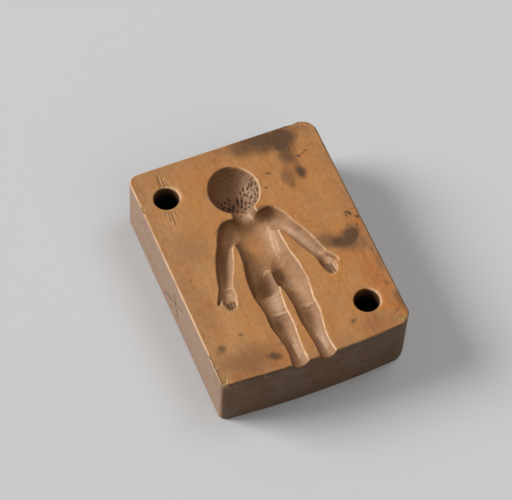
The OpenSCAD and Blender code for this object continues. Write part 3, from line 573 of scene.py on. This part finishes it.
def carveMarks(x, y, depth):
    # the small cuts inside the hollow: how much deeper they go, and how much painted shade (dark) and
    # painted highlight (pale) they carry
    inside = ease(depth / 0.6)
    extra, dark, pale = hairMarks(x, y)
    for x1, y1, x2, y2, half, deep, tone in strokes:
        s = strokeShape(x, y, x1, y1, x2, y2, half)
        extra += s * deep
        dark = np.maximum(dark, s * -tone)
        pale = np.maximum(pale, s * tone)
    # small facets left by the gouge
    extra += inside * (0.045 * rough(x, y, 2.6, 11) + 0.025 * rough(x * 2.5, y, 1.6, 12))
    return extra * inside, np.clip(dark, 0, 1) * inside, np.clip(pale, 0, 1) * inside


def whereIs(flat, x, y):
    # which part of the block each point is on
    halfW, halfL = plank["width"] / 2, plank["length"] / 2
    side = (np.abs(flat[:, 0]) > halfW - near) | (np.abs(flat[:, 1]) > halfL - near)
    fromHoles = [np.hypot(x - cx, y - cy) for cx, cy in (pegHoles["back"], pegHoles["front"])]
    alongX, alongY = slopeOf(x, y)
    lightX, lightY = wearAndShade["light"]
    return dict(
        side=side, level=np.where(side, -flat[:, 2], 0),
        ends=(np.abs(flat[:, 1]) > halfL - near) & (np.abs(x) < halfW - plank["endsFrom"]),
        fromHoles=fromHoles, inPeg=np.minimum(*fromHoles) < pegHoles["radius"] + 1,
        depth=figureDepth(x, y), steepness=np.hypot(alongX, alongY),
        lean=np.clip((lightX * alongX + lightY * alongY) / wearAndShade["steep"], -1, 1) * ~side,
    )


def carve(x, y, z, place):
    # takes the wood away, with the tones that the damage has and the painted shade and highlights of the
    # cuts
    side, inPeg = place["side"], place["inPeg"]
    extra, dark, pale = carveMarks(x, y, place["depth"])
    carved = roundRim(place["depth"], place["steepness"] * (1 - 0.65 * ease(place["lean"] * 2))) + extra
    holes = zip((pegHoles["back"], pegHoles["front"]), pegHoles["lipTurns"], place["fromHoles"])
    for (cx, cy), bearing, away in holes:
        turned = np.cos(np.arctan2(y - cy, x - cx) - bearing)
        lip = ease((pegHoles["radius"] + pegHoles["lipReach"] - away) / pegHoles["lipFade"])
        lip = lip * ease((turned - 0.3) * 2) * ease((z - 21.8) * 2)
        z = z - pegHoles["lip"] * lip * (1 + 0.3 * rough(x, y, 1.3, 61))
        pale = np.maximum(pale, lip)
    for x1, y1, x2, y2, half, tone in torn:
        s = strokeShape(x, y, x1, y1, x2, y2, half)
        carved += np.where(side | inPeg, 0, s * (wearAndShade["tear"] if tone < 0 else wearAndShade["sliver"]))
        dark = np.maximum(dark, np.where(side, 0, s * -tone * 0.9))
        pale = np.maximum(pale, np.where(side, 0, s * tone * 0.8))
    z = np.where(inPeg, z, z - np.maximum(carved, 0) * np.clip(z / plank["height"], 0, 1))
    wave = wearAndShade["wave"] * np.maximum(1 + rough(x, y, wearAndShade["wavePitch"], 3), 0)
    z = np.where((z > 22.5) & ~side & ~inPeg, z - wave, z)
    bruise = np.zeros(x.shape)
    for cx, cy, halfX, halfY, deep in dents:
        s = np.exp(-spot(x, y, cx, cy, halfX, halfY, 0) ** 2) * ease((z - 19) / 4)
        z = z - s * deep * (1 + 0.35 * rough(x, y, 1.2, 51)) * ~inPeg
        bruise = np.maximum(bruise, s * ease(deep * 3))
    for y1, z1, y2, z2, half in scratches:
        s = strokeShape(y, z, y1, z1, y2, z2, half) * (x < 0.1 - plank["width"] / 2)
        x = x + wearAndShade["scratch"] * s
        dark = np.maximum(dark, s)
    return x, z, dark, pale, bruise


def hollowTones(x, y, place):
    # painted shade on the walls at the back left, which face away from the lamp, and painted highlights on
    # the walls opposite
    depth, lean, top = place["depth"], place["lean"], ~place["side"]
    wall = lean * ease((depth + 0.1) / 0.5) * np.where(y > tones["headFrom"], 0.55, 1)
    paintedShade, paintedLight = np.clip(wall, 0, 1), np.clip(-wall, 0, 1) * 0.5
    for cx, cy, halfX, halfY, turn, tone in patches:
        s = np.exp(-spot(x, y, cx, cy, halfX, halfY, turn) ** 2) * ease(depth / 0.8) * top
        paintedShade = np.maximum(paintedShade * (1 - 0.6 * np.clip(s * tone, 0, 1)), s * -tone)
        paintedLight = np.maximum(paintedLight, s * tone)
    hollow = ease(depth / 1.2) * top
    for cx, cy, halfX, halfY, turn, strength in polished:
        hollow = hollow * (1 - strength * np.exp(-spot(x, y, cx, cy, halfX, halfY, turn) ** 2))
    # a painted highlight along the rim where it faces the light, and painted shade along it where it
    # doesn't
    across = place["depth"] / np.maximum(place["steepness"], 0.3)
    rim = np.exp(-((across - 0.04) / tones["rimWide"]) ** 2) * (0.15 + 0.85 * ease(-lean * 1.6)) * top
    onArm = np.abs(x - figure["middle"]) > tones["armFrom"]
    rim = rim * (0.8 + 0.3 * rough(x, y, 3, 71)) * np.where(onArm, 0.55, 1)
    rimShade = np.exp(-((across - 0.1) / tones["rimShadeWide"]) ** 2) * ease(lean * 2 - 0.2)
    rimShade = rimShade * ease((y + 2) / 14) * ~place["inPeg"]
    return dict(
        paintedShade=np.maximum(paintedShade, rimShade), paintedLight=paintedLight, hollow=hollow, rim=rim,
        headHollow=ease(depth / 1.5) * top * ease((y - tones["headFrom"]) / 2),
        rimShade=0.6 * rimShade * ease((y - 8) / 6),
    )


def faceTones(x, y, z, place):
    side, level, ends = place["side"], place["level"], place["ends"]
    burn, red = np.zeros(x.shape), np.zeros(x.shape)
    wobble = 1 + 0.2 * rough(x, y, 5, 21) + 0.12 * rough(x, y, 2, 22)
    for cx, cy, halfX, halfY, turn, strength in burns:
        away = spot(x, y, cx, cy, halfX, halfY, turn) * wobble
        burn = np.maximum(burn, strength * ease((1.8 - away) / 1.6))
    for cx, cy, halfX, halfY, turn, strength in reds:
        red = np.maximum(red, strength * ease(1.4 - spot(x, y, cx, cy, halfX, halfY, turn) * wobble))
    uneven = 0.75 + 0.4 * rough(x, y, 6, 31)
    # the left rim is worn pale and carries a painted highlight, the front and right rims are darker, and so
    # is the front right corner
    left, back = tones["leftRim"], tones["backRim"]
    paleRim = uneven * np.where(x < -26, 1, 0.3) * ((x < left) | (y > back))
    darkerRim = side & (level < tones["darkRimRings"]) & (x > left) & (y < back)
    darkerCorner = side * 0.6 * ease((x - 8) / 14) * ease((-y - 24) / 14)
    fromHole = np.minimum(*place["fromHoles"])
    margin = np.minimum(plank["width"] / 2 - np.abs(x), plank["length"] / 2 - np.abs(y))
    return dict(
        burn=burn * (z > 14), red=red,
        ends=ends * ease(level / 3), flanks=(side & ~ends) * ease(level / 3),
        edge=paleRim * np.interp(level, range(6), (0, 1, 1, 0.5, 0.15, 0)),
        darkBrown=np.where(darkerRim, 0.4 + 0.6 * uneven, darkerCorner),
        # painted sheen on the left of the face, the side towards the lamp
        paintedSheen=~side * ease((-10 - x) / 14) * (0.7 + 0.5 * rough(x, y, 12, 33)),
        grime=~side * ease(1 - margin / tones["border"]) * (0.7 + 0.3 * rough(x, y, 8, 32))
        * (place["depth"] < 0.1),
        # painted shade down the peg holes, darker further down
        boreShade=~side * ease((pegHoles["radius"] + 0.3 - fromHole) / 0.25)
        * ease((22.7 - z) * 2) * (0.75 + 0.25 * ease((22 - z) / 5)),
    )


def makeBlock():
    bm = makePlank()
    mesh = bpy.data.meshes.new("carvedBlock")
    bm.to_mesh(mesh)
    bm.free()
    co = np.zeros(len(mesh.vertices) * 3)
    mesh.vertices.foreach_get("co", co)
    flat = co.reshape(-1, 3)
    x, y, z = settle(flat)
    place = whereIs(flat, x, y)
    x, z, dark, pale, bruise = carve(x, y, z, place)
    mesh.vertices.foreach_set("co", np.stack([x, y, z], 1).ravel() * mm)
    marks = dict(pale=pale, bruise=bruise, **hollowTones(x, y, place), **faceTones(x, y, z, place))
    # the painted shade along the rim goes into the dark marks as well
    marks["dark"] = np.maximum(dark, marks.pop("rimShade"))
    for name, values in marks.items():
        layer = mesh.attributes.new(name, "FLOAT", "POINT")
        layer.data.foreach_set("value", np.clip(values, 0, 1).astype(np.float32))
    mesh.update()
    mesh.shade_smooth()
    made = bpy.data.objects.new("carvedBlock", mesh)
    bpy.context.scene.collection.objects.link(made)
    triangles = sum(len(face.vertices) - 2 for face in mesh.polygons)
    print("block made:", len(mesh.polygons), "faces,", triangles, "triangles")
    return made


block = makeBlock()
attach(block, "root")
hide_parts("mould_block")


wood = dict(
    # polished by handling, with a paler colour for the painted sheen on the face's left
    face=(0.440, 0.202, 0.064), faceWarm=(0.450, 0.180, 0.036), faceDull=(0.300, 0.142, 0.062),
    paintedSheen=(0.445, 0.235, 0.098), red=(0.420, 0.130, 0.022), burn=(0.085, 0.040, 0.017),
    # in the hollow, with the colours of the painted highlight and painted shade on its walls and of the
    # painted highlight along its rim
    hollow=(0.340, 0.178, 0.082), headHollow=(0.165, 0.074, 0.028), paintedLight=(0.550, 0.365, 0.245),
    paintedShade=(0.080, 0.025, 0.004), paintedShadeRed=(0.150, 0.036, 0.005), rim=(0.920, 0.640, 0.420),
    # the sides along the grain, then the end grain
    flank=(0.330, 0.226, 0.150), flankPink=(0.350, 0.208, 0.156), flankOchre=(0.350, 0.215, 0.118),
    ends=(0.146, 0.080, 0.038), endsGrey=(0.150, 0.098, 0.064), endsRed=(0.150, 0.060, 0.028),
    # cuts and worn edges, which carry painted shade and painted highlights as well, then the peg holes with
    # their painted shade
    dark=(0.030, 0.014, 0.007), pale=(0.740, 0.490, 0.300), bruise=(0.340, 0.220, 0.075),
    darkBrown=(0.100, 0.065, 0.030), boreShade=(0.014, 0.009, 0.007),
    gloss=0.32, dullness=0.42, relief=0.6, reliefDepth=0.14,  # the finish, and the grain that stands up
)

# Unevenness of the wood: mm across, along and down the grain, detail, roughness
grains = dict(
    streak=((0.9, 16, 0.9), 5, 0.6), pore=((0.22, 4.5, 0.22), 3, 0.6), layer=((30, 40, 0.9), 4, 0.6),
    cloud=((9, 12, 9), 5, 0.6), warmth=((4.2, 6.5, 4.2), 5, 0.65), mottle=((1.3, 1.9, 1.3), 4, 0.65),
    fine=((0.45, 1.0, 0.45), 2, 0.6), speckle=((0.55, 0.7, 0.55), 1, 0.5),
)

# Coats over the plain face, each on top of the ones before: the mark that says where ("" is everywhere),
# strength, the unevenness that breaks it up and between which values, colour
coats = [
    ("", 0.8, ("warmth", 0.40, 0.70), "faceWarm"),
    ("", 0.4, ("cloud", 0.45, 0.75), "faceDull"),
    ("", 0.26, ("streak", 0.4, 0.72), "faceDull"),
    # painted sheen on the left of the face
    ("paintedSheen", 0.6, None, "paintedSheen"),
    ("grime", 0.6, None, "faceDull"),
    ("red", 0.8, ("redness", 0.36, 0.6), "red"),
    ("hollow", 0.9, None, "hollow"),
    ("headHollow", 0.9, None, "headHollow"),
    ("flanks", 1, None, "flankMix"),
    ("flanks", 0.3, ("speckle", 0.6, 0.72), "faceDull"),
    ("ends", 1, None, "endMix"),
    ("", 0.25, ("soaked", 0.0, 0.5), "faceDull"),
    ("soaked", 0.95, None, "burn"),
    # painted highlights, then painted shade, on the hollow's walls
    ("paintedLight", 0.6, None, "paintedLight"),
    ("mottledShade", 0.75, None, "paintedShadeMix"),
    ("bruise", 1, ("mottle", 0.3, 0.6), "bruise"),
    # the worn pale rim of the block, which carries a painted highlight too
    ("edge", 0.8, None, "pale"),
    ("darkBrown", 0.7, None, "darkBrown"),
    # painted highlight along the rim of the hollow
    ("rim", 0.95, None, "rim"),
    # pale and dark carry the painted highlights and painted shade of the cuts as well
    ("pale", 0.6, None, "pale"),
    ("dark", 0.85, None, "dark"),
    ("", 0.45, ("speckle", 0.7, 0.78), "darkBrown"),
    ("red", 0.35, ("speckle", 0.62, 0.72), "darkBrown"),
    # painted shade down the peg holes
    ("boreShade", 1, None, "boreShade"),
]

# Fine light and dark over all of it: unevenness, between which values, tints
tints = [
    ("pore", 0.3, 0.7, (0.90, 0.89, 0.87), (1.06, 1.06, 1.05)),
    ("mottle", 0.3, 0.7, (0.93, 0.91, 0.89), (1.06, 1.07, 1.08)),
    ("fine", 0.3, 0.7, (0.94, 0.93, 0.92), (1.06, 1.06, 1.06)),
]
layerTint = ("layer", 0.35, 0.68, (0.74, 0.71, 0.69), (1.18, 1.17, 1.16))  # only on the sides


def link(tree, output, target):
    tree.links.new(output, target)


def addNode(tree, kind, **settings):
    node = tree.nodes.new("ShaderNode" + kind)
    for key, value in settings.items():
        setattr(node, key, value)
    return node


def mixColour(tree, factor, under, over, blend="MIX"):
    node = addNode(tree, "Mix", data_type="RGBA", blend_type=blend)
    for socket, value in ((0, factor), (6, under), (7, over)):
        if isinstance(value, bpy.types.NodeSocket):
            link(tree, value, node.inputs[socket])
        elif socket:
            node.inputs[socket].default_value = (*value, 1)
        else:
            node.inputs[socket].default_value = value
    return node.outputs[2]


def calc(tree, operation, a, b=None, clamp=False):
    node = addNode(tree, "Math", operation=operation, use_clamp=clamp)
    for socket, value in enumerate((a, b)):
        if isinstance(value, bpy.types.NodeSocket):
            link(tree, value, node.inputs[socket])
        elif value is not None:
            node.inputs[socket].default_value = value
    return node.outputs[0]


def stretched(tree, coords, cell, detail, roughness):
    # noise whose spots are cell = (x, y, z) millimetres
    mapping = addNode(tree, "Mapping")
    mapping.inputs["Scale"].default_value = [1 / (c * mm) for c in cell]
    link(tree, coords, mapping.inputs["Vector"])
    noise = addNode(tree, "TexNoise")
    noise.inputs["Scale"].default_value = 1
    noise.inputs["Detail"].default_value = detail
    noise.inputs["Roughness"].default_value = roughness
    link(tree, mapping.outputs[0], noise.inputs["Vector"])
    return noise.outputs[0]


def spread(tree, value, low, high):
    # 0 below low, 1 above high, and smooth in between
    node = addNode(tree, "MapRange", interpolation_type="SMOOTHSTEP")
    node.inputs["From Min"].default_value = low
    node.inputs["From Max"].default_value = high
    link(tree, value, node.inputs["Value"])
    return node.outputs[0]


def makeWood():
    material = bpy.data.materials.new("fruitwood")
    material.use_nodes = True
    tree = material.node_tree
    shader = tree.nodes["Principled BSDF"]
    coords = addNode(tree, "TexCoord").outputs["Object"]
    grain = {name: stretched(tree, coords, *settings) for name, settings in grains.items()}
    names = [layer.name for layer in block.data.attributes if layer.data_type == "FLOAT"]
    mark = {name: addNode(tree, "Attribute", attribute_name=name).outputs["Fac"] for name in names}

    def share(value, amount):
        return calc(tree, "MULTIPLY", value, amount)

    def sumOf(base, *parts):
        for value, amount in parts:
            base = calc(tree, "ADD", share(value, amount), base)
        return base

    def blend(factor, under, over):
        return mixColour(tree, factor, under, over)

    def tinted(colour, name, low, high, dark, light):
        tint = blend(spread(tree, grain[name], low, high), dark, light)
        return mixColour(tree, 1.0, colour, tint, "MULTIPLY")

    grain["redness"] = sumOf(0, (grain["warmth"], 0.5), (grain["streak"], 0.5))
    uneven = sumOf(0.1, (grain["mottle"], 0.7), (grain["streak"], 0.6), (grain["fine"], 0.7))
    mark["soaked"] = grain["soaked"] = calc(tree, "MULTIPLY", mark["burn"], uneven, clamp=True)
    # the painted shade on the walls is broken up by the mottle
    shadeMottle = sumOf(0.65, (grain["mottle"], 0.7))
    mark["mottledShade"] = calc(tree, "MULTIPLY", mark["paintedShade"], shadeMottle, clamp=True)
    flank = blend(spread(tree, grain["cloud"], 0.4, 0.62), wood["flank"], wood["flankPink"])
    ends = blend(spread(tree, grain["cloud"], 0.36, 0.6), wood["endsGrey"], wood["ends"])
    patchy = spread(tree, grain["warmth"], 0.48, 0.64)
    paint = dict(
        wood, flankMix=blend(share(patchy, 0.6), flank, wood["flankOchre"]),
        endMix=blend(share(patchy, 0.9), ends, wood["endsRed"]),
        paintedShadeMix=blend(mark["red"], wood["paintedShade"], wood["paintedShadeRed"]),
    )

    colour = wood["face"]
    for where, strength, broken, name in coats:
        factor = share(mark[where], strength) if where else strength
        if broken:
            field, low, high = broken
            factor = share(spread(tree, grain[field], low, high), factor)
        colour = blend(factor, colour, paint[name])
    for tint in tints:
        colour = tinted(colour, *tint)
    sides = calc(tree, "MAXIMUM", mark["ends"], share(mark["flanks"], 0.3))
    colour = blend(share(sides, 0.9), colour, tinted(colour, *layerTint))
    link(tree, colour, shader.inputs["Base Color"])

    dull = ((grain["cloud"], 0.16), (mark["ends"], 0.15), (mark["hollow"], 0.2))
    link(tree, sumOf(wood["dullness"], *dull), shader.inputs["Roughness"])
    shader.inputs["Specular IOR Level"].default_value = wood["gloss"]
    raised = [(grain[name], amount) for name, amount in
              dict(streak=0.4, pore=0.6, mottle=0.7, speckle=0.35).items()]
    bump = addNode(tree, "Bump")
    bump.inputs["Strength"].default_value = wood["relief"]
    bump.inputs["Distance"].default_value = wood["reliefDepth"] * mm
    link(tree, sumOf(0, *raised), bump.inputs["Height"])
    link(tree, bump.outputs[0], shader.inputs["Normal"])
    return material


block.data.materials.append(makeWood())
print("wood finished")


studio = dict(
    floorColour=(0.55, 0.55, 0.55), floorSize=6,  # metres from here on
    key=dict(towards=(-0.85, 0.5, 0.66), away=5.0, size=2.6, power=255),
    fill=dict(towards=(0.35, -0.9, 1.0), away=3.0, size=2.5, power=14),
    top=dict(towards=(0.5, 0.1, 1.0), away=2.0, size=1.2, power=10),
    sky=0.22,
)


def makeStudio():
    scene = bpy.context.scene
    scene.view_settings.view_transform = "Standard"
    bm = bmesh.new()
    bmesh.ops.create_grid(bm, x_segments=1, y_segments=1, size=studio["floorSize"])
    mesh = bpy.data.meshes.new("studioFloor")
    bm.to_mesh(mesh)
    bm.free()
    floor = bpy.data.objects.new("studioFloor", mesh)
    scene.collection.objects.link(floor)
    material = bpy.data.materials.new("paleFloor")
    material.use_nodes = True
    shader = material.node_tree.nodes["Principled BSDF"]
    shader.inputs["Base Color"].default_value = (*studio["floorColour"], 1)
    shader.inputs["Roughness"].default_value = 0.9
    mesh.materials.append(material)
    world = bpy.data.worlds.new("studioWorld")
    scene.world = world
    world.use_nodes = True
    world.node_tree.nodes["Background"].inputs[0].default_value = (1, 1, 1, 1)
    world.node_tree.nodes["Background"].inputs[1].default_value = studio["sky"]
    for name in ("key", "fill", "top"):
        s = studio[name]
        light = bpy.data.lights.new(name + "Light", "AREA")
        light.shape, light.size, light.energy = "DISK", s["size"], s["power"]
        lamp = bpy.data.objects.new(name + "Light", light)
        scene.collection.objects.link(lamp)
        towards = Vector(s["towards"]).normalized()
        lamp.location = towards * s["away"]
        lamp.rotation_mode = "QUATERNION"
        lamp.rotation_quaternion = towards.to_track_quat("Z", "Y")


makeStudio()
print("studio lit")
